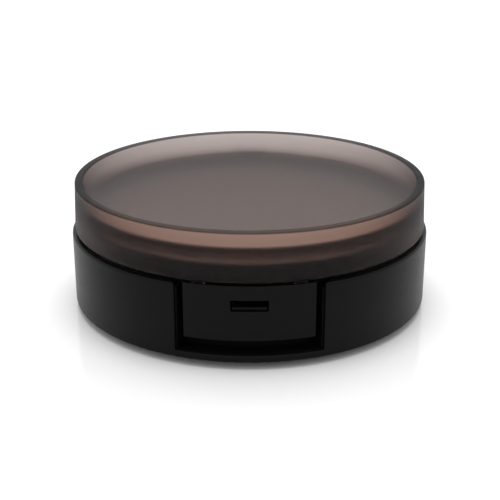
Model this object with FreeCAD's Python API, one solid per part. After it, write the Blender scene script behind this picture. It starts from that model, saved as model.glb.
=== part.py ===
"""A round wet palette: a smoky dished lid on a black base, hinged at the rear and latched at the front.

Millimetres, +Z up, origin at the centre of the underside. The latch faces -Y and the hinge is at +Y.
"""

import FreeCAD
import Part

import math
import os

from FreeCAD import Vector

# Overall sizes
BASE_RADIUS = 60.0
LID_TOP_Z = 43.0
LID_EDGE_Z = 27.45
RIM_Z = 26.2

# Base shell
WALL = 2.4
UNDERSIDE_Z = 2.2
FLOOR_TOP_Z = 4.6
BASE_BEVEL = 0.6
RIM_BEVEL = 0.7
SEAT_Z = 24.6
RIB_THICK = 1.6
RIB_REACH = 3.4
RIB_COUNT = 8

# Foot ring
FOOT_RADIUS = 51.0
FOOT_WIDTH = 5.0

# Front notch and the recess behind it
NOTCH_HALF = 22.4
NOTCH_Z = 4.5
NOTCH_BEVEL = 0.4
RECESS_RADIUS = 53.3
RECESS_WALL = 1.8

# Latch flap and the catch nub that its slot drops over
FLAP_OUTER = 58.9
FLAP_THICK = 2.5
FLAP_HALF = 19.9
FLAP_BOTTOM_Z = 8.85
FLAP_TOP_Z = 26.6
FLAP_BEVEL = 0.5
SLOT_HALF = 5.6
SLOT_BOTTOM_Z = 18.0
SLOT_TOP_Z = 21.9
NUB_HALF = 5.1
NUB_TIP_RADIUS = 57.7
NUB_ROOT = (18.15, 20.4)
NUB_TIP = (18.65, 19.6)

# Latch hinge: one ear of the lid and one pin at each upper corner of the flap
LATCH_Y = -55.1
LATCH_Z = 26.0
LATCH_BARREL = 1.1
LATCH_PIN = 0.5
LATCH_PIN_FREE = 0.56
LATCH_PIN_X = (11.6, 18.0)
LATCH_HOLE_X = (11.4, 18.2)
EAR_X = (13.4, 17.1)
KNUCKLE_X = (11.4, 13.2)
EAR_CLEAR = 0.2
EAR_TOP_Z = 28.2

# Lid
LID_RADIUS_TOP = 58.4
LID_RADIUS_EDGE = 59.0
LID_BEVEL = 0.7
DISH_RADIUS_TOP = 55.9
DISH_RADIUS_FLOOR = 54.8
DISH_FLOOR_Z = 36.0
DISH_BEVEL = 1.2
LID_UNDERSIDE_Z = 33.8
SKIRT_INNER = 56.6

# Rear hinge
HINGE_Y = 61.2
HINGE_Z = 26.85
HINGE_BARREL = 2.1
HINGE_PIN = 1.0
HINGE_PIN_FREE = 1.06
LID_KNUCKLE_HALF = 6.8
BASE_KNUCKLE_X = (7.0, 15.0)
HINGE_CLEAR = 0.3

# Water tray
TUB_RADIUS = 51.0
TUB_WALL = 1.7
TUB_FLOOR_Z = 12.4
TUB_FLOOR = 1.6
SHELF_Z = 26.4
FLANGE_RADIUS = 57.2
FLANGE_TOP_Z = 26.0
COLLAR_OUTER = 54.8
COLLAR_INNER = 53.0
COLLAR_TOP_Z = 32.0

# Gasket, sponge and paper
GASKET_GAP = 0.1
SPONGE_GAP = 0.4
PAPER_RADIUS = 51.8
PAPER_THICK = 0.25

BIG = 200.0


def outline(corners):
    """A closed outline in the XZ plane. A corner is (x, z), or (x, z, bevel) where it is cut off."""
    count = len(corners)
    points = []
    for i, (x, z, *bevel) in enumerate(corners):
        here = Vector(x, 0, z)
        if not bevel:
            points.append(here)
            continue
        for x2, z2, *_ in (corners[i - 1], corners[(i + 1) % count]):
            points.append(here + (Vector(x2, 0, z2) - here).normalize() * bevel[0])
    return Part.makePolygon(points + points[:1])


def turned(corners):
    """The outline turned a full circle about the Z axis."""
    face = Part.Face(outline(corners))
    return face.revolve(Vector(0, 0, 0), Vector(0, 0, 1), 360)


def ring(inner, outer, z0, z1):
    """A plain ring about the Z axis."""
    tube = Part.makeCylinder(outer, z1 - z0, Vector(0, 0, z0))
    return tube.cut(Part.makeCylinder(inner, z1 - z0, Vector(0, 0, z0)))


def block(x, y, z):
    """A box from three (low, high) pairs."""
    return Part.makeBox(x[1] - x[0], y[1] - y[0], z[1] - z[0], Vector(x[0], y[0], z[0]))


def rod(x, y, z, radius):
    """A round rod along X between the two values of x."""
    return Part.makeCylinder(radius, x[1] - x[0], Vector(x[0], y, z), Vector(1, 0, 0))


def prism(x, outline):
    """A (y, z) outline pushed along X between the two values of x."""
    points = [Vector(x[0], y, z) for y, z in outline]
    face = Part.Face(Part.makePolygon(points + points[:1]))
    return face.extrude(Vector(x[1] - x[0], 0, 0))


def both_sides(span):
    """The span of x on the right and its mirror image on the left."""
    return [span, (-span[1], -span[0])]


def side_edges(shape, half, radius):
    """The edges at the front that lie in the planes x = half and x = -half, further out than the radius."""
    found = []
    for edge in shape.Edges:
        points = edge.discretize(3)
        in_plane = all(abs(abs(point.x) - half) < 1e-3 for point in points)
        outside = all(point.y < 0 and math.hypot(point.x, point.y) > radius for point in points)
        if in_plane and outside:
            found.append(edge)
    return found


def recess_space():
    """The space of the front notch, in front of the recess wall."""
    space = block((-NOTCH_HALF, NOTCH_HALF), (-BIG, 0), (NOTCH_Z, BIG))
    return space.cut(Part.makeCylinder(RECESS_RADIUS, BIG))


def notch_edges(shell):
    """The outer edges of the notch: its two sides and its sill."""
    edges = side_edges(shell, NOTCH_HALF, BASE_RADIUS - WALL)
    for edge in shell.Edges:
        ends = [vertex.Point for vertex in edge.Vertexes]
        level = all(abs(end.z - NOTCH_Z) < 1e-3 and end.y < 0 for end in ends)
        if len(ends) == 2 and level and min(math.hypot(end.x, end.y) for end in ends) > BASE_RADIUS - WALL:
            edges.append(edge)
    return edges


def catch_nub():
    """The wedge on the recess wall: its sloped top lets the flap ride over, its underside holds the slot."""
    root = -(RECESS_RADIUS - RECESS_WALL / 2)
    tip = -NUB_TIP_RADIUS
    outline = [(root, NUB_ROOT[0]), (tip, NUB_TIP[0]), (tip, NUB_TIP[1]), (root, NUB_ROOT[1])]
    return prism((-NUB_HALF, NUB_HALF), outline)


def seat_ribs():
    """Upright ribs inside the wall that carry the tray's flange, spaced evenly but none in the recess."""
    inner = BASE_RADIUS - WALL
    step = 360 / RIB_COUNT
    ribs = []
    for i in range(RIB_COUNT):
        rib = block((inner - RIB_REACH, inner + WALL / 2), (-RIB_THICK / 2, RIB_THICK / 2), (FLOOR_TOP_Z, SEAT_Z))
        rib.rotate(Vector(0, 0, 0), Vector(0, 0, 1), -90 + step * (i + 0.5))
        ribs.append(rib)
    return ribs


def base_knuckles():
    """The two outer barrels of the rear hinge, each on a gusset that runs down the wall."""
    low = HINGE_Z - 5.5 * HINGE_BARREL
    slant = math.radians(-35)
    toe = (HINGE_Y + HINGE_BARREL * math.cos(slant), HINGE_Z + HINGE_BARREL * math.sin(slant))
    inside = BASE_RADIUS - 1.5 * WALL
    gusset = [(inside, low), toe, (HINGE_Y, HINGE_Z), (inside, RIM_Z - RIM_BEVEL)]
    solids = []
    for span in both_sides(BASE_KNUCKLE_X):
        solids.append(rod(span, HINGE_Y, HINGE_Z, HINGE_BARREL))
        solids.append(prism(span, gusset))
    return solids


def base_shell():
    """The black outer shell: floor, wall, front recess with its nub, ribs and rear hinge barrels."""
    inner = BASE_RADIUS - WALL
    shell = turned([
        (0, UNDERSIDE_Z),
        (BASE_RADIUS, UNDERSIDE_Z, BASE_BEVEL),
        (BASE_RADIUS, RIM_Z, RIM_BEVEL),
        (inner, RIM_Z),
        (inner, FLOOR_TOP_Z),
        (0, FLOOR_TOP_Z),
    ])
    hollow = Part.makeCylinder(inner, BIG, Vector(0, 0, FLOOR_TOP_Z))
    outside = base_knuckles()
    shell = shell.fuse([solid.cut(hollow) for solid in outside])
    reach = RECESS_RADIUS - RECESS_WALL
    cheeks = NOTCH_HALF + RECESS_WALL
    surround = ring(reach, inner + WALL / 2, UNDERSIDE_Z, SEAT_Z)
    surround = surround.common(block((-cheeks, cheeks), (-BIG, 0), (0, BIG)))
    shell = shell.fuse([surround] + seat_ribs())
    shell = shell.cut(recess_space()).removeSplitter()
    shell = shell.makeChamfer(NOTCH_BEVEL, notch_edges(shell))
    shell = shell.fuse(catch_nub())
    relief = LID_KNUCKLE_HALF + HINGE_CLEAR
    shell = shell.cut([
        rod((-relief, relief), HINGE_Y, HINGE_Z, HINGE_BARREL + HINGE_CLEAR),
        rod((-BIG, BIG), HINGE_Y, HINGE_Z, HINGE_PIN),
    ])
    return shell.removeSplitter()


def foot_ring():
    """The rubber ring bonded to the underside, which lifts the lower edge off the table."""
    return ring(FOOT_RADIUS - FOOT_WIDTH, FOOT_RADIUS, 0, UNDERSIDE_Z)


def tray_flange():
    """The tray's rim that rests on the base's seat, left out where the front recess is."""
    half = NOTCH_HALF + RECESS_WALL
    rim = ring(COLLAR_OUTER - TUB_WALL / 2, FLANGE_RADIUS, SEAT_Z, FLANGE_TOP_Z)
    return rim.cut(block((-half, half), (-BIG, 0), (0, BIG)))


def water_tray():
    """The lift-out tub: a shelf for the paper, a collar inside the lid and a flange on the base's seat."""
    tub_inner = TUB_RADIUS - TUB_WALL
    tray = turned([
        (0, TUB_FLOOR_Z - TUB_FLOOR),
        (TUB_RADIUS, TUB_FLOOR_Z - TUB_FLOOR),
        (TUB_RADIUS, SEAT_Z),
        (COLLAR_OUTER, SEAT_Z),
        (COLLAR_OUTER, COLLAR_TOP_Z),
        (COLLAR_INNER, COLLAR_TOP_Z),
        (COLLAR_INNER, SHELF_Z),
        (tub_inner, SHELF_Z),
        (tub_inner, TUB_FLOOR_Z),
        (0, TUB_FLOOR_Z),
    ])
    return tray.fuse(tray_flange()).removeSplitter()


def sponge():
    """The water-holding disc, level with the tray's shelf."""
    radius = TUB_RADIUS - TUB_WALL - SPONGE_GAP
    return Part.makeCylinder(radius, SHELF_Z - TUB_FLOOR_Z, Vector(0, 0, TUB_FLOOR_Z))


def palette_paper():
    """The sheet that paint is mixed on, lying on the sponge and the shelf round it."""
    return Part.makeCylinder(PAPER_RADIUS, PAPER_THICK, Vector(0, 0, SHELF_Z))


def latch_ears():
    """The lid's two ears: a rounded tab under the skirt's edge at each upper corner of the flap."""
    front = LATCH_Y - LATCH_BARREL
    rear = LATCH_Y + LATCH_BARREL
    solids = []
    for span in both_sides(EAR_X):
        solids.append(rod(span, LATCH_Y, LATCH_Z, LATCH_BARREL))
        solids.append(block(span, (front, rear), (LATCH_Z, EAR_TOP_Z)))
    return solids


def lid_knuckle():
    """The middle barrel of the rear hinge, on a web from the skirt."""
    rise = math.radians(40)
    heel = (HINGE_Y + HINGE_BARREL * math.cos(rise), HINGE_Z + HINGE_BARREL * math.sin(rise))
    inside = LID_RADIUS_EDGE - 1.2
    web = [(inside, LID_EDGE_Z), (HINGE_Y, HINGE_Z), heel, (inside, LID_UNDERSIDE_Z)]
    span = (-LID_KNUCKLE_HALF, LID_KNUCKLE_HALF)
    return [rod(span, HINGE_Y, HINGE_Z, HINGE_BARREL), prism(span, web)]


def lid():
    """The smoky cap: rim, dished top and skirt in one wall, with the hinge barrel and the latch ears."""
    cap = turned([
        (LID_RADIUS_EDGE, LID_EDGE_Z),
        (LID_RADIUS_TOP, LID_TOP_Z, LID_BEVEL),
        (DISH_RADIUS_TOP, LID_TOP_Z),
        (DISH_RADIUS_FLOOR, DISH_FLOOR_Z, DISH_BEVEL),
        (0, DISH_FLOOR_Z),
        (0, LID_UNDERSIDE_Z),
        (SKIRT_INNER, LID_UNDERSIDE_Z),
        (SKIRT_INNER, LID_EDGE_Z),
    ])
    cap = cap.fuse(latch_ears() + lid_knuckle())
    cuts = [rod((-BIG, BIG), HINGE_Y, HINGE_Z, HINGE_PIN_FREE)]
    cuts += [rod(span, LATCH_Y, LATCH_Z, LATCH_PIN) for span in both_sides(EAR_X)]
    return cap.cut(cuts).removeSplitter()


def lid_gasket():
    """The soft ring bonded under the lid, just over the tray's collar."""
    return ring(COLLAR_INNER, COLLAR_OUTER, COLLAR_TOP_Z + GASKET_GAP, LID_UNDERSIDE_Z)


def ear_notches():
    """The gaps at the top of the flap that the lid's ears turn in."""
    solids = []
    for span in both_sides((EAR_X[0] - EAR_CLEAR, EAR_X[1] + EAR_CLEAR)):
        solids.append(rod(span, LATCH_Y, LATCH_Z, LATCH_BARREL + EAR_CLEAR))
        solids.append(block(span, (-BIG, 0), (LATCH_Z - EAR_CLEAR, BIG)))
    return solids


def front_edges(flap):
    """The edges round the flap's outer face."""
    found = []
    for edge in flap.Edges:
        points = edge.discretize(5)
        if all(abs(math.hypot(point.x, point.y) - FLAP_OUTER) < 1e-3 for point in points):
            found.append(edge)
    return found


def latch_flap():
    """The curved flap: a slot for the nub, and knuckles and notches at the top for its two pins."""
    inner = FLAP_OUTER - FLAP_THICK
    flap = ring(inner, FLAP_OUTER, FLAP_BOTTOM_Z, FLAP_TOP_Z)
    flap = flap.common(block((-FLAP_HALF, FLAP_HALF), (-BIG, 0), (0, BIG)))
    flap = flap.makeChamfer(FLAP_BEVEL, front_edges(flap))
    flap = flap.fuse([rod(span, LATCH_Y, LATCH_Z, LATCH_BARREL) for span in both_sides(KNUCKLE_X)])
    cuts = ear_notches()
    cuts.append(block((-SLOT_HALF, SLOT_HALF), (-BIG, 0), (SLOT_BOTTOM_Z, SLOT_TOP_Z)))
    cuts += [rod(span, LATCH_Y, LATCH_Z, LATCH_PIN_FREE) for span in both_sides(LATCH_HOLE_X)]
    return flap.cut(cuts).removeSplitter()


def latch_pin(span):
    """One steel pin, tight in the lid's ear and free in the flap."""
    return rod(span, LATCH_Y, LATCH_Z, LATCH_PIN)


def hinge_pin():
    """The steel pin of the rear hinge, tight in the base's barrels and free in the lid's."""
    end = BASE_KNUCKLE_X[1]
    return rod((-end, end), HINGE_Y, HINGE_Z, HINGE_PIN)


def main():
    pin_right, pin_left = both_sides(LATCH_PIN_X)
    pieces = {
        "base_shell": base_shell(),
        "foot_ring": foot_ring(),
        "water_tray": water_tray(),
        "sponge": sponge(),
        "palette_paper": palette_paper(),
        "hinge_pin": hinge_pin(),
        "lid": lid(),
        "lid_gasket": lid_gasket(),
        "latch_pin_right": latch_pin(pin_right),
        "latch_pin_left": latch_pin(pin_left),
        "latch_flap": latch_flap(),
    }
    os.makedirs("parts", exist_ok=True)
    for name, shape in pieces.items():
        shape.exportStep(f"parts/{name}.step")
        print(name, len(shape.Solids), shape.isValid(), round(shape.Volume))


main()
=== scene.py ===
# %% [markdown]
# # A round wet palette
# A low round case that keeps paint wet: a black base holds a lift-out tray with a damp sponge and a
# sheet of palette paper, and a smoky frosted lid with a dished top closes over it. The lid swings on a
# pin at the rear, and a curved flap at the front snaps over a nub to hold it shut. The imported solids
# give every size and every joint; this lesson dresses them.

import math

import bmesh
import bpy
import numpy as np
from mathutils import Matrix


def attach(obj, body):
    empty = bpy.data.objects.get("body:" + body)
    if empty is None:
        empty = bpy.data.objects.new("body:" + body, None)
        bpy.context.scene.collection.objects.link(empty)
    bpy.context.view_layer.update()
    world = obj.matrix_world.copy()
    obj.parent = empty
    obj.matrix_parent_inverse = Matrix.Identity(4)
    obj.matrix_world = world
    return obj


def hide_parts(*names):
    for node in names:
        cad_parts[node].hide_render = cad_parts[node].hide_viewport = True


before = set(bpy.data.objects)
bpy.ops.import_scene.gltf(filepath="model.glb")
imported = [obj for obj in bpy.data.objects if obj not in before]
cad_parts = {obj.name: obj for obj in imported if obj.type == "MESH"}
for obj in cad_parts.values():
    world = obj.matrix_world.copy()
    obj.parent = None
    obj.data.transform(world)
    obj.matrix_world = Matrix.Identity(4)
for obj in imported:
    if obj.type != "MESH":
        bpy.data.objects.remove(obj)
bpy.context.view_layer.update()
MM = 0.001

# %% [markdown]
# ## Outlines with soft corners
# Moulded plastic has no sharp corners, because the tool's steel is always a little round. A bevel
# modifier could round a finished mesh, but on a turned piece it is cleaner to round the outline once
# and then turn it: the arcs stay exact and every ring of the surface is a true circle.


# %% Rounded outline
def soft_outline(corners, steps=6):
    """Points (n, 2) through corners (across, up, radius), with an arc at each corner that has a radius.

    With unit vectors a and b from the corner to its neighbours and h half the angle between them, the
    arc of radius q begins q / tan h along a, ends q / tan h along b, and its centre is q / sin h along
    the bisector. The points between are the two end directions mixed by sines of the angle.
    """
    table = np.array(corners, float)
    here, radius = table[:, :2], table[:, 2:]
    a = np.roll(here, 1, axis=0) - here
    b = np.roll(here, -1, axis=0) - here
    a /= np.linalg.norm(a, axis=1, keepdims=True)
    b /= np.linalg.norm(b, axis=1, keepdims=True)
    half = np.arccos(np.clip((a * b).sum(1, keepdims=True), -1, 1)) / 2
    middle = a + b
    middle /= np.maximum(np.linalg.norm(middle, axis=1, keepdims=True), 1e-9)
    centre = here + middle * radius / np.sin(half)
    first = here + a * radius / np.tan(half) - centre
    last = here + b * radius / np.tan(half) - centre
    turn = np.maximum(math.pi - 2 * half, 1e-6)[..., None]
    share = np.linspace(0, 1, steps + 1)[None, :, None]
    mix = np.sin((1 - share) * turn) * first[:, None] + np.sin(share * turn) * last[:, None]
    points = (centre[:, None] + mix / np.sin(turn)).reshape(-1, 2)
    gap = np.linalg.norm(points - np.roll(points, 1, axis=0), axis=1)
    return points[gap > 1e-7]


# %% [markdown]
# ## Surfaces as grids of points
# Every new piece is a function of two parameters, worked out for all of its points at once. A turned
# piece carries its outline round the axis; a bar carries an outline along a line. Where a row shrinks to
# one point, as at the middle of a disc, the doubles are merged afterwards, so poles and seams close.

# %% Grids and pieces
SHARP, MERGE, SLIVER = math.radians(40), 2e-6, 1e-7


def grid_faces(rows, columns, round_rows=True, round_columns=False):
    """The quads between neighbouring points of a grid, closed along either way where asked."""
    i = np.arange(rows if round_rows else rows - 1)[:, None]
    j = np.arange(columns if round_columns else columns - 1)[None]
    i2, j2 = (i + 1) % rows, (j + 1) % columns
    quads = [i * columns + j, i2 * columns + j, i2 * columns + j2, i * columns + j2]
    return np.stack(np.broadcast_arrays(*quads), axis=-1).reshape(-1, 4)


def grid(points, round_rows=True, round_columns=False):
    """A shell: the points of a grid (rows, columns, 3) in millimetres, and its quads."""
    rows, columns = points.shape[:2]
    return points.reshape(-1, 3), grid_faces(rows, columns, round_rows, round_columns)


def turned(outline, ring=False, count=240):
    """The outline (radius, height) turned about Z: at angle t its point is (r sin t, -r cos t, z)."""
    t = np.linspace(0, 2 * math.pi, count, endpoint=False)[:, None]
    r, z = outline[None, :, 0], outline[None, :, 1]
    points = np.stack(np.broadcast_arrays(r * np.sin(t), -r * np.cos(t), z), axis=-1)
    return grid(points, round_columns=ring)


def bar(outline, low, high, edge=0.25, steps=3):
    """A bar along X: a (y, z) outline at stations from low to high, with a quarter round at both ends.

    At angle b of the quarter the station is edge * (1 - cos b) from the end, and the outline has moved
    edge * (1 - sin b) towards its middle. A single point closes each end.
    """
    b = np.linspace(0, math.pi / 2, steps + 1)
    start, end = low + edge * (1 - np.cos(b)), high - edge * (1 - np.cos(b))
    along = np.concatenate([[low], start, end[::-1], [high]])
    inset = edge * np.concatenate([1 - np.sin(b), (1 - np.sin(b))[::-1]])[:, None, None]
    middle = outline.mean(axis=0)
    arm = outline - middle
    arm /= np.linalg.norm(arm, axis=1, keepdims=True)
    sections = outline[None] - inset * arm[None]
    tip = np.broadcast_to(middle, (1, len(outline), 2))
    sections = np.concatenate([tip, sections, tip])
    x = np.broadcast_to(along[:, None], sections.shape[:2])
    points = np.stack([x, sections[..., 0], sections[..., 1]], axis=-1)
    return grid(points, round_rows=False, round_columns=True)


def circle(y, z, radius, start=0.0, end=360.0, count=24):
    """Points of an arc in the (y, z) plane, from one angle to another in degrees."""
    full = end - start >= 360
    t = np.radians(np.linspace(start, end, count, endpoint=not full))
    return np.stack([y + radius * np.cos(t), z + radius * np.sin(t)], axis=-1)


def both_sides(shell):
    """A shell and its mirror image in the plane x = 0."""
    points, faces = shell
    return [shell, (points * [-1, 1, 1], faces[:, ::-1])]


def closed_mesh(name, points, faces):
    """A mesh from points in millimetres: doubles merged, slivers dissolved, faces turned outwards."""
    mesh = bpy.data.meshes.new(name)
    mesh.from_pydata((points * MM).tolist(), [], faces.tolist())
    work = bmesh.new()
    work.from_mesh(mesh)
    bmesh.ops.remove_doubles(work, verts=work.verts, dist=MERGE)
    bmesh.ops.dissolve_degenerate(work, edges=work.edges, dist=SLIVER)
    bmesh.ops.recalc_face_normals(work, faces=work.faces)
    work.to_mesh(mesh)
    work.free()
    return mesh


def placed(name, data):
    """An object with this data, in the scene."""
    thing = bpy.data.objects.new(name, data)
    bpy.context.scene.collection.objects.link(thing)
    return thing


def piece(name, shells, body, node):
    """One object from its shells, smooth but for its sharp edges, riding on a body in a node's place."""
    starts = np.cumsum([0] + [len(points) for points, _ in shells])
    points = np.concatenate([points for points, _ in shells])
    faces = np.concatenate([quads + start for (_, quads), start in zip(shells, starts)])
    mesh = closed_mesh(name, points, faces)
    mesh.shade_smooth()
    mesh.set_sharp_from_angle(angle=SHARP)
    thing = placed(name, mesh)
    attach(thing, body)
    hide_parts(node)
    print(name, len(mesh.vertices), "points", len(mesh.polygons), "faces")
    return thing


# %% [markdown]
# ## The base
# The black base is one moulding: a floor, a round wall, and at the front a notch whose back wall lies a
# finger's depth behind the flap. Cutting the notch with a boolean would leave ragged triangles at its
# rounded rim. Here the wall's plan is drawn as one closed path that goes round the outside, turns in at
# the notch and runs along its back, and the wall's section is carried along it in one grid.

# %% The base's plan
BASE_R, INNER_R = 60.0, 57.6
UNDER_Z, FLOOR_Z, SILL_Z, SEAT_Z, RIM_Z = 2.2, 4.6, 4.5, 24.6, 26.2
NOTCH_X, CHEEK_X, BACK_R, BEHIND_R = 22.4, 24.2, 53.3, 51.5
NOTCH_EDGE = 0.15
BACK_COUNT, CHEEK_COUNT, WALL_COUNT = 30, 8, 150


def on_circle(radius, angle):
    """Plan points (x, y) of a circle, the angle counted from the front towards +X."""
    radius, angle = np.broadcast_arrays(np.asarray(radius, float), np.asarray(angle, float))
    return np.stack([radius * np.sin(angle), -radius * np.cos(angle)], axis=-1)


def at_x(x, radius):
    """The point at the front where the line x meets the circle."""
    return np.array([x, -math.sqrt(radius**2 - x**2)])


def between(start, end, count):
    """Evenly spaced plan points from start to end, both kept."""
    s = np.linspace(0, 1, count)[:, None]
    return start * (1 - s) + end * s


def base_path():
    """Four matching arrays along the wall's plan: outer skin, inner skin, floor's edge and wall's height.

    Right half first: notch back from the middle outwards, the cheek towards the front, the notch's rounded
    edge and the outer wall to the rear. The left half is its mirror image in reverse order.
    """
    back_turn, behind_turn = math.asin(NOTCH_X / BACK_R), math.asin(CHEEK_X / BEHIND_R)
    edge_turn = math.asin(NOTCH_X / BASE_R)
    wall_start, arc_stop, arc_aim = edge_turn + 0.02, edge_turn + 0.03, edge_turn + 0.05
    s = np.linspace(0, 1, BACK_COUNT)
    back = on_circle(BACK_R, back_turn * s)
    behind = on_circle(BEHIND_R, behind_turn * s)
    front = on_circle(BASE_R, edge_turn * s)
    corner, step, inside = at_x(NOTCH_X, BASE_R), at_x(NOTCH_X, INNER_R), at_x(CHEEK_X, INNER_R)
    cheek = between(at_x(NOTCH_X, BACK_R), step, CHEEK_COUNT)
    cheek_lining = between(at_x(CHEEK_X, BEHIND_R), inside, CHEEK_COUNT)
    soft = soft_outline([(*step, 0), (*corner, NOTCH_EDGE), (*on_circle(BASE_R, arc_aim), 0)], steps=5)
    soft = soft[(np.hypot(*soft.T) > INNER_R + 0.5) & (soft[:, 0] < on_circle(BASE_R, arc_stop)[0])]
    edge = on_circle(BASE_R, np.arctan2(soft[:, 0], -soft[:, 1]))
    edge[0] = corner
    outer = on_circle(BASE_R, np.linspace(wall_start, math.pi, WALL_COUNT))
    inner = on_circle(INNER_R, np.linspace(math.asin(CHEEK_X / INNER_R), math.pi, WALL_COUNT))
    skin = np.concatenate([back, cheek, step[None], soft, outer])
    lining = np.concatenate([behind, cheek_lining, np.repeat(inside[None], 1 + len(soft), 0), inner])
    floor = np.concatenate([front, np.repeat(corner[None], CHEEK_COUNT + 1, 0), edge, outer])
    seat = np.full(BACK_COUNT + CHEEK_COUNT, SEAT_Z)
    height = np.concatenate([seat, np.full(1 + len(soft) + WALL_COUNT, RIM_Z)])
    flip = np.array([-1, 1])
    whole = [np.concatenate([half, half[-2:0:-1] * flip]) for half in (skin, lining, floor)]
    return whole + [np.concatenate([height, height[-2:0:-1]])]


skin, lining, floor_edge, wall_top = base_path()
print("base path", len(skin), "stations")

# %% [markdown]
# ### Wall, hinge barrels, ribs and nub
# A section is carried along that plan: from the middle of the underside up the outside, over the rounded
# rim, down the inside and back to the middle of the floor. The two hinge barrels, the ribs that carry the
# tray and the nub that the flap snaps over are bars pushed a little way into the wall. A boolean could join
# them, but black plastic hides where they overlap, so they are left as they are.


# %% The base's wall and floor
def base_body(foot=0.6, sill=0.35, rim=0.8, lip=0.35, steps=5):
    """The section carried along the plan, from the middle of the underside to the middle of the floor.

    A quarter round of radius q moves in by q * (1 - sin b) and up by q * (1 - cos b). The rounding at the
    foot moves the floor's edge. In the notch the sill runs from the floor's edge to the notch's back;
    elsewhere the two are one line and its rounding is nothing. At the top the rounding moves from the outer
    skin to the inner one, along the line between them.
    """
    b = np.linspace(0, math.pi / 2, steps + 1)
    quarter = list(zip(1 - np.sin(b), 1 - np.cos(b)))
    count = len(skin)

    def ring(plan, height):
        return np.concatenate([plan, np.broadcast_to(np.reshape(height, (-1, 1)), (count, 1))], axis=1)

    depth = skin - floor_edge
    length = np.linalg.norm(depth, axis=1, keepdims=True)
    inwards = depth / np.maximum(length, 1e-9)
    soft = np.minimum(sill, length / 2)
    across = lining - skin
    across /= np.linalg.norm(across, axis=1, keepdims=True)
    rows = [ring(floor_edge * 0, UNDER_Z)]
    rows += [ring(floor_edge * (1 - foot * p / BASE_R), UNDER_Z + foot * q) for p, q in quarter]
    rows += [ring(floor_edge + inwards * soft * q, SILL_Z - soft * p) for p, q in quarter]
    rows += [ring(skin, SILL_Z)]
    rows += [ring(skin + across * rim * q, wall_top - rim * p) for p, q in quarter]
    rows += [ring(lining - across * lip * p, wall_top - lip * q) for p, q in quarter]
    rows += [ring(lining, FLOOR_Z), ring(lining * 0, FLOOR_Z)]
    return grid(np.stack(rows, axis=1))


HINGE_Y, HINGE_Z, BARREL = 61.2, 26.85, 2.1
KNUCKLE_X = (7.0, 15.0)
GUSSET = np.array([[59.0, 25.2], [58.9, 20.0], [58.9, 15.4]])
GUSSET_FOOT = np.array([58.95, 15.3])
RIB_R, RIB_HALF, RIB_COUNT = (54.2, 58.8), 0.8, 8
NUB_X, NUB_ROOT, NUB_TIP = 5.35, -52.4, -57.8


def base_knuckle():
    """A rear hinge barrel on a gusset that runs down the wall: the barrel's arc closed by the wall's line."""
    arc = circle(HINGE_Y, HINGE_Z, BARREL, -35, 215, 30)
    outline = np.concatenate([arc, GUSSET, between(GUSSET_FOOT, arc[0], 6)[:-1]])
    return bar(outline, *KNUCKLE_X, edge=0.4)


def seat_rib(angle):
    """An upright rib inside the wall, a thin bar turned about Z to its place."""
    inner, outer, low = *RIB_R, FLOOR_Z - 0.3
    outline = soft_outline([(inner, low, 0), (outer, low, 0), (outer, SEAT_Z, 0), (inner, SEAT_Z, 0.5)])
    points, faces = bar(outline, -RIB_HALF, RIB_HALF, edge=0.2)
    c, s = math.cos(angle), math.sin(angle)
    return points @ np.array([[c, s, 0], [-s, c, 0], [0, 0, 1]]), faces


nub_outline = soft_outline(
    [(NUB_ROOT, 18.2, 0), (NUB_TIP, 18.5, 0.06), (NUB_TIP, 19.5, 0.12), (NUB_ROOT, 20.2, 0)], steps=4
)
ribs = [seat_rib(2 * math.pi * (i + 0.5) / RIB_COUNT) for i in range(RIB_COUNT)]
base = piece(
    "base_case",
    [base_body(), bar(nub_outline, -NUB_X, NUB_X)] + both_sides(base_knuckle()) + ribs,
    "base", "base_shell",
)

# %% [markdown]
# ## The foot ring
# The lower edge of the case stands a little clear of the table on a rubber ring, which is why a dark soft
# line runs under it. The ring is turned from a section with two shallow grooves, as such rings have, so
# that it grips without suction.

# %% Foot ring
FOOT_R, GROOVE = (46.0, 51.0), 0.35
foot_section = soft_outline([
    (FOOT_R[0], 0.0, 0.35), (47.3, 0.0, 0.15), (47.6, GROOVE, 0.1), (48.0, GROOVE, 0.1), (48.3, 0.0, 0.15),
    (48.7, 0.0, 0.15), (49.0, GROOVE, 0.1), (49.4, GROOVE, 0.1), (49.7, 0.0, 0.15), (FOOT_R[1], 0.0, 0.35),
    (FOOT_R[1], UNDER_Z, 0), (FOOT_R[0], UNDER_Z, 0),
], steps=3)
foot = piece("rubber_foot", [turned(foot_section, ring=True)], "base", "foot_ring")

# %% [markdown]
# ## The tray
# The tray is a black tub with a shelf for the paper's edge and a collar that reaches up inside the lid. All
# of that is round, so it is turned from one outline. Its flange rests on the base's ribs and stops short of
# the notch, so the flange is a second shell: a small section carried round all but the front.


# %% Tray
def part_ring(section, half_width, count=160):
    """A closed section (radius, height) carried round all but the front, where it stops at x = half_width.

    For a radius r the angle runs from asin(w / r) to a full turn less that, so both ends are flat. A point
    closes each.
    """
    r, z = section.T
    stop = np.arcsin(half_width / r)
    s = np.linspace(0, 1, count)[:, None]
    angle = stop * (1 - s) + (2 * math.pi - stop) * s
    points = np.stack([r * np.sin(angle), -r * np.cos(angle), np.broadcast_to(z, angle.shape)], axis=-1)
    tips = np.broadcast_to(points[[0, -1]].mean(axis=1, keepdims=True), (2, len(r), 3))
    points = np.concatenate([tips[:1], points, tips[1:]])
    return grid(points, round_rows=False, round_columns=True)


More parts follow.
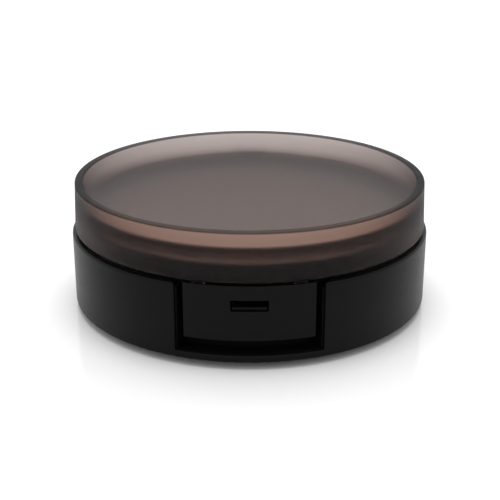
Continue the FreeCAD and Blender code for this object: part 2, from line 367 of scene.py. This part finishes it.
TUB_UNDER, TUB_FLOOR, SHELF_Z, COLLAR_Z, FLANGE_Z = 10.8, 12.4, 26.4, 32.0, 26.0
TUB_R, TUB_INNER_R, COLLAR_R, COLLAR_INNER_R, FLANGE_R = 51.0, 49.3, 54.8, 53.0, (54.0, 57.2)
tub = soft_outline([
    (0, TUB_UNDER, 0), (TUB_R, TUB_UNDER, 1.2), (TUB_R, SEAT_Z, 0), (COLLAR_R, SEAT_Z, 0),
    (COLLAR_R, COLLAR_Z, 0.5), (COLLAR_INNER_R, COLLAR_Z, 0.5), (COLLAR_INNER_R, SHELF_Z, 0.3),
    (TUB_INNER_R, SHELF_Z, 0.4), (TUB_INNER_R, TUB_FLOOR, 0.5), (0, TUB_FLOOR, 0),
])
flange = soft_outline([
    (FLANGE_R[0], SEAT_Z, 0), (FLANGE_R[1], SEAT_Z, 0.3),
    (FLANGE_R[1], FLANGE_Z, 0.3), (FLANGE_R[0], FLANGE_Z, 0),
], steps=4)
tray = piece("tray_tub", [turned(tub), part_ring(flange, CHEEK_X)], "base", "water_tray")

# %% [markdown]
# ### The sponge
# A wet palette works because damp foam feeds water through the paper. The foam swells until it fills its
# tub. A plain cylinder would look like wood, so the disc is crowned in the middle, well rounded at its edges,
# and its side ripples a little where it presses on the tub.


# %% Sponge
def foam_disc(radius=48.85, low=TUB_FLOOR + 0.02, high=SHELF_Z - 0.05, crown=0.25, ripple=0.0012):
    """A crowned disc: the top drops by crown * (r / R)^4 and its side ripples by a few sines of the angle."""
    edge = high - crown
    section = soft_outline([(0, low, 0), (radius, low, 1.2), (radius, edge, 1.8), (0, edge, 0)], steps=8)
    fill = [np.linspace(section[i], section[i + 1], 10)[:-1] for i in range(len(section) - 1)]
    points, faces = turned(np.concatenate(fill + [section[-1:]]), count=200)
    r = np.hypot(points[:, 0], points[:, 1])
    t = np.arctan2(points[:, 0], -points[:, 1])
    top = points[:, 2] > (low + high) / 2
    points[:, 2] += np.where(top, crown * (1 - (r / radius) ** 4), 0)
    side = 1 - ripple * (1 + np.sin(9 * t + 0.7) * np.sin(4 * t)) * (r / radius) ** 6
    points[:, :2] *= side[:, None]
    return points, faces


sponge = piece("foam_pad", [foam_disc()], "base", "sponge")

# %% [markdown]
# ### The paper
# Palette paper is a thin sheet, wet from below, whose edge lifts in shallow waves. A cloth simulation could
# lay it down, but the waves are so low that a few sines of the angle give them, the same on every run.

# %% Paper
PAPER_R = 51.8


def damp_sheet(radius=PAPER_R, thick=0.2, lift=0.12, count=40):
    """A disc of damp paper: flat in the middle, cockled by lift * (r / R)^3 * sin(k t) at its edge."""
    t = np.linspace(0, 2 * math.pi, 180, endpoint=False)[:, None]
    r = np.concatenate([np.linspace(0, 1, count), np.linspace(1, 0, count)])[None] * radius
    wave = (r / radius) ** 3 * (1 + 0.6 * np.sin(5 * t + 0.4) + 0.4 * np.sin(11 * t)) / 2
    upper = np.arange(2 * count)[None] < count
    z = SHELF_Z + 0.02 + lift * wave + np.where(upper, thick, 0)
    points = np.stack(np.broadcast_arrays(r * np.sin(t), -r * np.cos(t), z), axis=-1)
    return grid(points)


paper = piece("mixing_paper", [damp_sheet()], "base", "palette_paper")

# %% [markdown]
# ## The lid
# The lid is one wall of smoky plastic: a skirt, a raised rim, and a dished top that meets the rim in a
# soft curve. It is turned from one outline. The hinge barrel at the rear and the two ears at the front are
# joined to it with boolean unions, because clear plastic would show every wall buried inside it.

# %% Lid
LID_TOP, LID_EDGE, DISH_Z, LID_UNDER = 43.0, 27.45, 36.0, 33.8
SKIRT_R, LID_R, RIM_R, RIM_INNER_R, DISH_FOOT_R = 56.6, 59.0, 58.4, 55.9, 54.8
DISH_FILLET, UNDER_FILLET = 3.6, 3.0
LATCH_Y, LATCH_Z, LATCH_BARREL = -55.1, 26.0, 1.1
EAR_X, EAR_TOP, LID_KNUCKLE_X = (13.4, 17.1), 28.2, 6.8
WEB_TOP, WEB_FOOT = np.array([57.9, 33.8]), np.array([[57.8, 30.0], [57.8, 27.6]])
lid_outline = soft_outline([
    (0, LID_UNDER, 0), (SKIRT_R, LID_UNDER, UNDER_FILLET), (SKIRT_R, LID_EDGE, 0.35), (LID_R, LID_EDGE, 0.35),
    (RIM_R, LID_TOP, 0.5), (RIM_INNER_R, LID_TOP, 0.5), (DISH_FOOT_R, DISH_Z, DISH_FILLET), (0, DISH_Z, 0),
], steps=10)


def lid_knuckle():
    """The middle hinge barrel on a web from the skirt: the barrel's arc, then up and back to the skirt."""
    arc = circle(HINGE_Y, HINGE_Z, BARREL, -180, 40, 26)
    outline = np.concatenate([arc, between(arc[-1], WEB_TOP, 6)[1:], WEB_FOOT])
    return bar(outline, -LID_KNUCKLE_X, LID_KNUCKLE_X, edge=0.4)


def latch_ear():
    """A tab under the skirt's edge with a rounded end, for the latch pin."""
    arc = circle(LATCH_Y, LATCH_Z, LATCH_BARREL, 180, 360, 16)
    outline = np.concatenate([arc, [[arc[-1, 0], EAR_TOP], [arc[0, 0], EAR_TOP]]])
    return bar(outline, *EAR_X, edge=0.2)


def joined(thing, shells):
    """Unites closed shells with a piece, one boolean each, and keeps the result as its mesh."""
    helpers = [placed(f"helper_{i}", closed_mesh(f"helper_{i}", *shell)) for i, shell in enumerate(shells)]
    for helper in helpers:
        union = thing.modifiers.new(helper.name, "BOOLEAN")
        union.operation, union.solver, union.object = "UNION", "EXACT", helper
    bpy.context.view_layer.update()
    solved = thing.evaluated_get(bpy.context.evaluated_depsgraph_get())
    result = bpy.data.meshes.new_from_object(solved)
    thing.modifiers.clear()
    thing.data = result
    result.shade_smooth()
    result.set_sharp_from_angle(angle=SHARP)
    for helper in helpers:
        bpy.data.objects.remove(helper)
    print(thing.name, "joined", len(result.polygons), "faces")


lid = piece("smoky_lid", [turned(lid_outline)], "lid", "lid")
joined(lid, [lid_knuckle()] + both_sides(latch_ear()))

# %% [markdown]
# ### The gasket
# A soft ring under the lid sits just above the tray's collar and keeps the damp in. It is turned from a small
# section whose lower edges are round and whose flat top meets the lid.

# %% Gasket
GASKET_R, GASKET_LOW = (53.0, 54.8), 32.1
gasket_section = soft_outline([
    (GASKET_R[0], GASKET_LOW, 0.5), (GASKET_R[1], GASKET_LOW, 0.5),
    (GASKET_R[1], LID_UNDER, 0), (GASKET_R[0], LID_UNDER, 0),
], steps=5)
gasket = piece("seal_ring", [turned(gasket_section, ring=True)], "lid", "lid_gasket")

# %% [markdown]
# ## The latch flap
# The flap is a plate bent to the case's round. A slot in it drops over the nub, and two pockets behind its
# top edge make room for the lid's ears. It is built from a grid of cells over width, height and thickness:
# a cell is kept or left out, and a wall is put wherever a kept cell meets an empty one. The slot's lower
# face then slopes down towards the inside, so that it clears the nub as the flap swings. A bevel rounds
# every edge, as the moulding tool does.


# %% Flap
def cut_plate(x, z, r, solid):
    """Walls round the kept cells of a bent plate, whose point (x, z, r) lies at y = -sqrt(r^2 - x^2)."""
    gx, gz, gr = np.meshgrid(x, z, r, indexing="ij")
    points = np.stack([gx, -np.sqrt(gr**2 - gx**2), gz], axis=-1).reshape(-1, 3)
    index = np.arange(len(points)).reshape(gx.shape)
    padded = np.pad(solid, 1).astype(int)
    faces = []
    for axis in range(3):
        keep = [slice(1, -1)] * 3
        keep[axis] = slice(None)
        change = np.diff(padded, axis=axis)[tuple(keep)]
        at = np.moveaxis(index, axis, 0)
        quads = np.stack([at[:, :-1, :-1], at[:, 1:, :-1], at[:, 1:, 1:], at[:, :-1, 1:]], axis=-1)
        faces.append(quads[np.moveaxis(change, axis, 0) != 0])
    used, faces = np.unique(np.concatenate(faces), return_inverse=True)
    return points[used], faces.reshape(-1, 4)


def spread(marks, step):
    """Grid lines through all the marks, with even steps no longer than step between them."""
    counts = np.ceil(np.diff(marks) / step).astype(int)
    lines = [np.linspace(a, b, n, endpoint=False) for a, b, n in zip(marks[:-1], marks[1:], counts)]
    return np.concatenate(lines + [marks[-1:]])


FLAP_X, FLAP_LOW, FLAP_HIGH, FLAP_R = 19.9, 8.85, 26.6, (56.4, 57.9, 58.9)
SLOT_X, SLOT_Z, SLOT_LIFT = 5.6, (18.0, 21.9), (-0.4, 0.4, 0.5)
POCKET_X, POCKET_LOW, GRIP_Z = (13.2, 17.3), 24.7, 13.0
FLAP_EDGE, CELL, NEAR = 0.35, 0.9, 0.01


def flap_plate():
    """The flap's cells without slot and pockets; the slot's lower face is lifted layer by layer."""
    marks = np.array([SLOT_X, *POCKET_X, FLAP_X])
    x = spread(np.concatenate([-marks[::-1], marks]), CELL)
    z = np.array([FLAP_LOW, GRIP_Z, *SLOT_Z, POCKET_LOW, FLAP_HIGH])
    r = np.array(FLAP_R)
    cx, cz, cr = np.meshgrid(*[(lines[:-1] + lines[1:]) / 2 for lines in (x, z, r)], indexing="ij")
    slot = (abs(cx) < SLOT_X) & (cz > SLOT_Z[0]) & (cz < SLOT_Z[1])
    pocket = (abs(cx) > POCKET_X[0]) & (abs(cx) < POCKET_X[1]) & (cz > POCKET_LOW) & (cr < FLAP_R[1])
    points, faces = cut_plate(x, z, r, ~(slot | pocket))
    slot_low = (abs(points[:, 0]) < SLOT_X + NEAR) & (abs(points[:, 2] - SLOT_Z[0]) < NEAR)
    layer = np.hypot(points[:, 0], points[:, 1])
    for radius, lift in zip(FLAP_R, SLOT_LIFT):
        points[slot_low & (abs(layer - radius) < NEAR), 2] += lift
    return points, faces


flap = piece("latch_plate", [flap_plate()], "latch", "latch_flap")
edges = flap.modifiers.new("moulded_edges", "BEVEL")
edges.width, edges.segments = FLAP_EDGE * MM, 3
edges.limit_method, edges.angle_limit = "ANGLE", math.radians(50)
edges.harden_normals = True

LATCH_KNUCKLE_X = (11.4, 13.2)
knuckles = bar(circle(LATCH_Y, LATCH_Z, LATCH_BARREL), *LATCH_KNUCKLE_X, edge=0.15)
knuckle_pair = piece("latch_knuckles", both_sides(knuckles), "latch", "latch_flap")

# %% [markdown]
# ## The pins
# Three drawn steel pins: a long one through the rear hinge and two short ones through the lid's ears. A
# cylinder from Blender's menu would have sharp ends. The bar function gives a round section and softly
# broken ends, as on cut and tumbled wire.

# %% Pins
HINGE_PIN_R, HINGE_PIN_X, LATCH_PIN_R, LATCH_PIN_X = 1.0, 15.0, 0.5, (11.6, 18.0)
pin_sizes = {
    "rear_pin": ("base", "hinge_pin", HINGE_Y, HINGE_Z, HINGE_PIN_R, -HINGE_PIN_X, HINGE_PIN_X),
    "right_pin": ("lid", "latch_pin_right", LATCH_Y, LATCH_Z, LATCH_PIN_R, *LATCH_PIN_X),
    "left_pin": ("lid", "latch_pin_left", LATCH_Y, LATCH_Z, LATCH_PIN_R, -LATCH_PIN_X[1], -LATCH_PIN_X[0]),
}
pins = [
    piece(name, [bar(circle(y, z, r, count=32), low, high, edge=0.15)], body, node)
    for name, (body, node, y, z, r, low, high) in pin_sizes.items()
]

# %% [markdown]
# ## Finishes
# Each finish is one shader whose colour, roughness and fine relief come from noise in the object's own
# coordinates, in metres, so a grain of a third of a millimetre has a scale of about three thousand.

# %% Shader helpers
NOISE_MIDDLE = (0.3, 0.7)


class Finish:
    """A node material in the making: a principled shader and the links that feed it."""

    def __init__(self, name, **values):
        self.material = bpy.data.materials.new(name)
        self.material.use_nodes = True
        self.nodes = self.material.node_tree.nodes
        self.links = self.material.node_tree.links
        self.shader = self.nodes["Principled BSDF"]
        for socket, value in values.items():
            self.shader.inputs[socket.replace("_", " ")].default_value = value
        self.place = self.nodes.new("ShaderNodeTexCoord").outputs["Object"]

    def node(self, kind, inputs=None, **settings):
        """A new node with its settings; each input is linked to a socket or set to a value."""
        made = self.nodes.new("ShaderNode" + kind)
        for key, value in settings.items():
            setattr(made, key, value)
        for socket, value in (inputs or {}).items():
            if isinstance(value, bpy.types.NodeSocket):
                self.links.new(value, made.inputs[socket])
            else:
                made.inputs[socket].default_value = value
        return made

    def noise(self, scale, detail=3.0, rough=0.55):
        """Noise from 0 to 1, mostly near a half, with scale grains to the metre."""
        inputs = {"Vector": self.place, "Scale": scale, "Detail": detail, "Roughness": rough}
        return self.node("TexNoise", inputs).outputs[0]

    def between(self, factor, low, high):
        """Stretches the middle of a noise over the values from low to high."""
        start, end = NOISE_MIDDLE
        inputs = {"Value": factor, "From Min": start, "From Max": end, "To Min": low, "To Max": high}
        return self.node("MapRange", inputs).outputs[0]

    def step(self, value, start, end):
        """0 up to start and 1 from end on, with a smooth change between."""
        inputs = {"Value": value, "From Min": start, "From Max": end}
        return self.node("MapRange", inputs, interpolation_type="SMOOTHSTEP").outputs[0]

    def combined(self, operation, first, second):
        """Two values in one arithmetic node."""
        return self.node("Math", {0: first, 1: second}, operation=operation).outputs[0]

    def mixed(self, factor, first, second):
        """The first value where the factor is 0 and the second where it is 1."""
        return self.node("Mix", {"Factor": factor, "A": first, "B": second}).outputs["Result"]

    def tones(self, factor, first, second):
        """The first colour where the factor is 0 and the second where it is 1."""
        mix = self.node("Mix", data_type="RGBA")
        self.links.new(factor, mix.inputs["Factor"])
        mix.inputs["A"].default_value = (*first, 1)
        mix.inputs["B"].default_value = (*second, 1)
        return mix.outputs["Result"]

    def feed(self, socket, value):
        """Links a value to one of the shader's sockets."""
        self.links.new(value, self.shader.inputs[socket])

    def relief(self, height, distance, strength=1.0):
        """Fine bumps, as high as distance in metres."""
        bump = self.node("Bump", {"Height": height, "Distance": distance, "Strength": strength})
        self.feed("Normal", bump.outputs[0])

    def absorb(self, per_metre):
        """Darkens light by exp(-a d) over a path d inside; the node's rate a is density * (1 - colour)."""
        density = 1.25 * max(per_metre)
        inside = self.node("VolumeAbsorption", {"Density": density})
        inside.inputs["Color"].default_value = (*[1 - rate / density for rate in per_metre], 1)
        self.links.new(inside.outputs[0], self.nodes["Material Output"].inputs["Volume"])

    def surface(self, shader):
        """Puts a shader in the place of the plain principled one."""
        self.links.new(shader.outputs[0], self.nodes["Material Output"].inputs["Surface"])

    def on(self, *things):
        """Gives the finished material to its pieces."""
        for thing in things:
            thing.data.materials.clear()
            thing.data.materials.append(self.material)
        print(self.material.name, "on", ", ".join(thing.name for thing in things))


# %% [markdown]
# ## The smoky lid
# The plastic is tinted right through, so a long way inside it looks darker than a short one: that is what
# the absorption does. Its skin is etched, which the roughness gives. Three places differ, found by height,
# by distance from the axis and by depth: the dish is a little milkier and its front wall scatters the light
# into a bright crescent; the rim's top, which looks down a long dark wall, and the thick ears and hinge
# barrel get painted shade, their colour darkened to stand in for how dark that depth of plastic looks.

# %% Smoky frosted plastic
SMOKE_VEIL = (0.84, 0.82, 0.81)
SMOKE_ABSORB = (226.0, 264.0, 274.0)
SMOKE_CLEAR, FROST_CLEAR = 0.99, 0.92
SMOKE_ROUGH, FROST_ROUGH = 0.55, 0.60
FROST_SHARE, FROST_TONE = 0.68, (0.96, 0.69, 0.57, 1.0)
# How dark the painted shade on the rim's top, the ears and the hinge barrel is, as a share of the lid's
# colour.
PAINTED_SHADE = 0.06
DISH_ZONE_R, DISH_ZONE_Z = (0.0563, 0.0559), (0.0348, 0.0352)
WALL_LOW, WALL_HIGH, RIM_ZONE = (0.0370, 0.0378), (0.0424, 0.0420), (0.0423, 0.0427)
FRONT_ZONE, EAR_ZONE, BARREL_ZONE = (-0.012, -0.047), (0.0284, 0.0276), (0.0592, 0.0597)

smoke = Finish("smoky_frost", IOR=1.25, Specular_Tint=(0.6, 0.6, 0.6, 1.0))
flat_place = smoke.node("VectorMath", {0: smoke.place, 1: (1, 1, 0)}, operation="MULTIPLY").outputs[0]
radius = smoke.node("VectorMath", {0: flat_place}, operation="LENGTH").outputs["Value"]
split = smoke.node("SeparateXYZ", {0: smoke.place})
depth, height = split.outputs["Y"], split.outputs["Z"]

front = smoke.step(depth, *FRONT_ZONE)
ears = smoke.combined("MULTIPLY", smoke.step(height, *EAR_ZONE), front)
thick = smoke.combined("MAXIMUM", ears, smoke.step(depth, *BARREL_ZONE))
# Painted shade: the lid's colour is darkened on the rim's top, the ears and the hinge barrel, standing in for
# the dark depth of plastic behind them.
painted_rim_shade = smoke.mixed(smoke.step(height, *RIM_ZONE), 1.0, PAINTED_SHADE)
painted_shade = smoke.mixed(thick, painted_rim_shade, PAINTED_SHADE)
veil = smoke.tones(smoke.noise(60, 2), tuple(0.96 * value for value in SMOKE_VEIL), SMOKE_VEIL)
smoke.feed("Base Color", smoke.node("VectorMath", {0: veil, "Scale": painted_shade}, operation="SCALE").outputs[0])

dish = smoke.combined("MULTIPLY", smoke.step(radius, *DISH_ZONE_R), smoke.step(height, *DISH_ZONE_Z))
smoke.feed("Transmission Weight", smoke.mixed(dish, SMOKE_CLEAR, FROST_CLEAR))
grain = smoke.between(smoke.noise(400, 4), 0.92, 1.08)
smoke.feed("Roughness", smoke.combined("MULTIPLY", smoke.mixed(dish, SMOKE_ROUGH, FROST_ROUGH), grain))
smoke.relief(smoke.noise(2600, 2), 0.00002, 0.25)
smoke.absorb(SMOKE_ABSORB)

share = FROST_SHARE
for zone in (dish, smoke.step(height, *WALL_LOW), smoke.step(height, *WALL_HIGH), front):
    share = smoke.combined("MULTIPLY", zone, share)
diffuser = smoke.node("BsdfTranslucent", {"Color": FROST_TONE}).outputs[0]
smoke.surface(smoke.node("MixShader", {0: share, 1: smoke.shader.outputs[0], 2: diffuser}))
smoke.on(lid)

# %% [markdown]
# ## Black plastics
# The base and the flap are satin black: very dark, with a weak even sheen and a grain too fine to see as
# bumps. The tray is a touch lighter and duller. One flat black would look like a hole in the picture; small
# changes of tone and roughness let the light break up softly on it.

# %% Black plastics
SATIN_TONE = 0.0042
satin = Finish("black_satin", Specular_IOR_Level=0.092)
satin_dark = (SATIN_TONE, SATIN_TONE, 1.08 * SATIN_TONE)
satin_light = (1.5 * SATIN_TONE, 1.5 * SATIN_TONE, 1.6 * SATIN_TONE)
satin.feed("Base Color", satin.tones(satin.noise(90, 3), satin_dark, satin_light))
satin.feed("Roughness", satin.between(satin.noise(700, 4), 0.33, 0.39))
satin.relief(satin.noise(5200, 2), 0.00001, 0.2)
satin.on(base, flap, knuckle_pair)

tub_black = Finish("tray_black", Specular_IOR_Level=0.2)
tub_dark, tub_light = (0.006, 0.006, 0.0062), (0.009, 0.009, 0.0092)
tub_black.feed("Base Color", tub_black.tones(tub_black.noise(120, 3), tub_dark, tub_light))
tub_black.feed("Roughness", tub_black.between(tub_black.noise(800, 4), 0.38, 0.46))
tub_black.relief(tub_black.noise(4200, 2), 0.00001, 0.3)
tub_black.on(tray)

# %% [markdown]
# ## Rubber and silicone
# The foot is dull black rubber with a grain that can be seen. The gasket is milky clear silicone: it lets
# most of the light through, but its rough skin blurs what lies behind it.

# %% Rubber and silicone
rubber = Finish("foot_rubber", Specular_IOR_Level=0.3)
rubber.feed("Base Color", rubber.tones(rubber.noise(500, 4), (0.010, 0.010, 0.010), (0.018, 0.018, 0.018)))
rubber.feed("Roughness", rubber.between(rubber.noise(900, 4), 0.72, 0.85))
rubber.relief(rubber.noise(2400, 3), 0.00003, 0.4)
rubber.on(foot)

silicone = Finish("clear_silicone", IOR=1.41, Transmission_Weight=0.85)
silicone.feed("Base Color", silicone.tones(silicone.noise(200, 3), (0.72, 0.69, 0.66), (0.80, 0.77, 0.74)))
silicone.feed("Roughness", silicone.between(silicone.noise(700, 3), 0.42, 0.52))
silicone.on(gasket)

# %% [markdown]
# ## Foam and paper
# Foam is a mass of round cells, which a Voronoi texture gives: the distance to the nearest cell's middle
# drives the depth of the pores and a painted shade that darkens each pore towards its bottom. The paper's
# fibres are a fine rough noise. With the case shut, it is the paper's warm tone that shows through the lid.

# %% Foam and paper
foam = Finish("wet_foam", Roughness=0.9, Specular_IOR_Level=0.25)
pore_depth_and_shade = foam.node("TexVoronoi", {"Vector": foam.place, "Scale": 900.0}).outputs["Distance"]
# Painted shade: the tone darkens towards each pore's middle, where the relief is deepest.
foam.feed("Base Color", foam.tones(foam.between(pore_depth_and_shade, 0.0, 1.0), (0.42, 0.30, 0.13), (0.74, 0.58, 0.30)))
foam.relief(pore_depth_and_shade, 0.0004, 0.8)
foam.on(sponge)

PAPER_TONE = (0.64, 0.47, 0.38)
sheet = Finish("mixing_sheet", Specular_IOR_Level=0.3)
fibres = sheet.noise(900, 5, 0.65)
paper_dark, paper_light = [tuple(level * value for value in PAPER_TONE) for level in (0.88, 1.08)]
sheet.feed("Base Color", sheet.tones(fibres, paper_dark, paper_light))
sheet.feed("Roughness", sheet.between(sheet.noise(300, 3), 0.55, 0.68))
sheet.relief(fibres, 0.00003, 0.35)
sheet.on(paper)

# %% [markdown]
# ## Steel
# Drawn wire has fine lines along its length. A noise that is stretched along X gives them in the roughness:
# it changes slowly along the pin and thousands of times to the metre across it.

# %% Steel
steel = Finish("drawn_steel", Metallic=1.0)
steel.feed("Base Color", steel.tones(steel.noise(300, 3), (0.50, 0.50, 0.51), (0.60, 0.60, 0.61)))
stretch = steel.node("Mapping", {"Vector": steel.place, "Scale": (60.0, 4000.0, 4000.0)}).outputs[0]
draw = steel.node("TexNoise", {"Vector": stretch, "Scale": 1.0, "Detail": 3.0}).outputs[0]
steel.feed("Roughness", steel.between(draw, 0.26, 0.40))
steel.on(*pins)

# %% [markdown]
# ## The stage
# The palette stands on a white glossy table under one wide soft light from above. The table is white to the
# camera and to anything that mirrors it, and greyer to scattered light, so that it throws less light back up
# into the front of the case than a real white room would. It glows a little, dimmed near the case into a
# painted contact shadow.

# %% Table
TABLE_GLOW, CONTACT_SHADOW_REACH, TABLE_HALF = 0.25, 0.010, 3.0
TABLE_WHITE, TABLE_DULL = (0.97, 0.97, 0.975, 1), (0.35, 0.35, 0.35, 1)
SEEN_BY = ("Is Camera Ray", "Is Glossy Ray", "Is Transmission Ray")


def seen_rays(nodes, links):
    """1 for the kinds of ray in SEEN_BY and 0 for all others: the largest of their outputs."""
    path = nodes.new("ShaderNodeLightPath")
    seen = path.outputs[SEEN_BY[0]]
    for kind in SEEN_BY[1:]:
        either = nodes.new("ShaderNodeMath")
        either.operation = "MAXIMUM"
        links.new(seen, either.inputs[0])
        links.new(path.outputs[kind], either.inputs[1])
        seen = either.outputs[0]
    return seen


def table_finish():
    """White with a glow for the rays that see it, dimmed near the case into a painted contact shadow, and a
    dull grey for all others.
    """
    made = Finish("white_table", Base_Color=TABLE_WHITE, Roughness=0.12, Specular_IOR_Level=0.5)
    made.shader.inputs["Emission Color"].default_value = (1, 1, 1, 1)
    # Painted contact shadow: ambient occlusion dims the table's glow where the case is near.
    near = made.node("AmbientOcclusion", {"Distance": CONTACT_SHADOW_REACH}, samples=8).outputs["AO"]
    made.feed("Emission Strength", made.combined("MULTIPLY", near, TABLE_GLOW))
    seen = seen_rays(made.nodes, made.links)
    dull = made.node("BsdfDiffuse", {"Color": TABLE_DULL}).outputs[0]
    made.surface(made.node("MixShader", {0: seen, 1: dull, 2: made.shader.outputs[0]}))
    return made


corners = [(x * TABLE_HALF, y * TABLE_HALF, 0) for x, y in ((-1, -1), (1, -1), (1, 1), (-1, 1))]
table_mesh = bpy.data.meshes.new("table")
table_mesh.from_pydata(corners, [], [(0, 1, 2, 3)])
table = placed("table", table_mesh)
table_finish().on(table)

# %% [markdown]
# ### The light
# The room is white wherever it is looked at or mirrored, but only part of that white falls on the case as
# light. The rest comes from one square lamp, a metre wide, above and a little behind the case, so that the
# front stays dark and the top is bright. Several lamps would put several highlights on the black wall.

# %% World and lamp
WORLD_FILL = 0.45
LAMP_POWER, LAMP_SIZE, LAMP_PLACE, LAMP_AIM = 8.0, 1.0, (0.0, 0.15, 1.1), (0, 0, 0.03)

world = bpy.data.worlds.new("white_room")
bpy.context.scene.world = world
world.use_nodes = True
sky, links = world.node_tree.nodes, world.node_tree.links
level = sky.new("ShaderNodeMapRange")
links.new(seen_rays(sky, links), level.inputs["Value"])
level.inputs["To Min"].default_value = WORLD_FILL
level.inputs["To Max"].default_value = 1.0
links.new(level.outputs[0], sky["Background"].inputs["Strength"])
sky["Background"].inputs["Color"].default_value = (1, 1, 1, 1)

lamp_data = bpy.data.lights.new("over", "AREA")
lamp_data.shape, lamp_data.size, lamp_data.energy = "SQUARE", LAMP_SIZE, LAMP_POWER
lamp = placed("over", lamp_data)
lamp.location = LAMP_PLACE
aim_x, aim_y, aim_z = np.subtract(LAMP_AIM, LAMP_PLACE)
lamp.rotation_euler = (math.atan2(math.hypot(aim_x, aim_y), -aim_z), 0, math.atan2(-aim_x, aim_y))
print("lamp", LAMP_POWER, "W at", LAMP_PLACE, "room", WORLD_FILL)

# %% [markdown]
# ### The camera
# The camera stands straight in front and looks down by about twenty-one degrees. Its focal length is known
# in pixels of the frame, and the sensor's width turns that into millimetres of lens.

# %% Camera
DISTANCE, RISE, AIM_X, AIM_Z, FOCAL_PX = 0.3648, math.radians(20.92), 0.00013, 0.0155, 1052.0
FRAME_PX, SENSOR_MM = 500, 36.0
camera_data = bpy.data.cameras.new("camera")
camera_data.sensor_width = SENSOR_MM
camera_data.lens = FOCAL_PX / FRAME_PX * SENSOR_MM
camera_data.clip_start = 0.01
camera = placed("camera", camera_data)
camera.location = (AIM_X, -DISTANCE * math.cos(RISE), AIM_Z + DISTANCE * math.sin(RISE))
camera.rotation_euler = (math.pi / 2 - RISE, 0, 0)
bpy.context.scene.camera = camera
bpy.context.scene.view_settings.view_transform = "Standard"
print("camera", [round(value, 4) for value in camera.location], "lens", round(camera_data.lens, 2), "mm")
